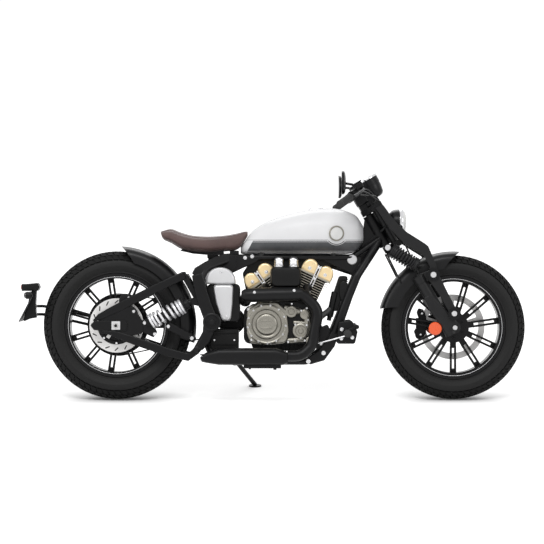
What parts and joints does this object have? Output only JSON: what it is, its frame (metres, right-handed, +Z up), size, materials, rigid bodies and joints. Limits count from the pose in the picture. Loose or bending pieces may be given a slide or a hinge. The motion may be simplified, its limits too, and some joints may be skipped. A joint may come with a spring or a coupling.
{
  "type": "bobber motorcycle",
  "caption": "Bobber motorcycle with V-twin engine, girder-link front fork, cast wheels, low leather seat, leaning on its side stand.",
  "frame": {"origin": "on the floor under the middle of the bike as it leans on its side stand", "axes": "+X forward along the wheelbase, +Y to the bike's left, +Z up"},
  "size_m": [2.2442, 0.778, 1.0402],
  "materials": {
    "frame_black": "satin",
    "beam_grey": "satin",
    "bar_black": "satin",
    "spring_silver": "satin",
    "spring_black": "satin",
    "engine_black": "satin",
    "cover_alloy": "satin",
    "fin_alloy": "satin",
    "head_bronze": "satin",
    "black_plastic": "matte",
    "radiator_black": "satin",
    "chrome": "polished",
    "exhaust_black": "satin",
    "tank_white": "gloss",
    "seat_leather": "satin",
    "cover_silver": "satin",
    "fender_black": "satin",
    "plate_blank": "matte",
    "caliper_black": "satin",
    "bright_steel": "satin",
    "belt_rubber": "matte",
    "rim_black": "satin",
    "tyre_rubber": "matte",
    "grip_rubber": "matte"
  },
  "bodies": {
    "frame": {"main_frame": "frame_black", "swing_arm": "frame_black", "rear_shock": "spring_silver", "crankcase": "engine_black", "engine_covers": "cover_alloy", "cylinders": "fin_alloy", "cylinder_heads": "head_bronze", "air_cleaner": "black_plastic", "intake_domes": "chrome", "radiator": "radiator_black", "exhaust_pipes": "exhaust_black", "silencer": "exhaust_black", "fuel_tank": "tank_white", "filler_cap": "chrome", "seat": "seat_leather", "seat_pan": "frame_black", "electrics_box": "black_plastic", "side_cover": "cover_silver", "rear_fender": "fender_black", "tail_carrier": "frame_black", "number_plate": "plate_blank", "rear_caliper": "caliper_black", "rear_axle": "bright_steel", "drive_belt": "belt_rubber", "foot_controls": "frame_black"},
    "rear_wheel": {"rear_rim": "rim_black", "rear_tyre": "tyre_rubber", "rear_disc": "bright_steel", "rear_pulley": "frame_black"},
    "fork": {"girder_beams": "beam_grey", "fork_yokes": "frame_black", "fork_legs": "beam_grey", "front_springs": "spring_black", "handlebar": "bar_black", "grips": "grip_rubber", "hand_controls": "black_plastic", "mirrors": "bar_black", "headlight": "chrome", "front_fender": "fender_black", "front_caliper": "caliper_black", "front_axle": "bright_steel"},
    "front_wheel": {"front_rim": "rim_black", "front_tyre": "tyre_rubber", "front_disc": "bright_steel"},
    "stand": {"side_stand": "frame_black"}
  },
  "joints": [
    {"name": "steering", "type": "hinge", "parent": "frame", "child": "fork", "pos_m": [0.4292, -0.01021, 0.80966], "axis": [-0.5, 0.1355, 0.8554], "range_deg": [-32, 32]},
    {"name": "front_wheel_spin", "type": "hinge", "parent": "fork", "child": "front_wheel", "pos_m": [0.8025, -0.08824, 0.317], "axis": [0, 0.9877, -0.1564], "continuous": true},
    {"name": "rear_wheel_spin", "type": "hinge", "parent": "frame", "child": "rear_wheel", "pos_m": [-0.6895, -0.08683, 0.32589], "axis": [0, 0.9877, -0.1564], "continuous": true},
    {"name": "side_stand_fold", "type": "hinge", "parent": "frame", "child": "stand", "pos_m": [-0.1695, 0.02855, 0.14663], "axis": [0.0629, 0.7438, 0.6655], "range_deg": [0, 95]}
  ]
}
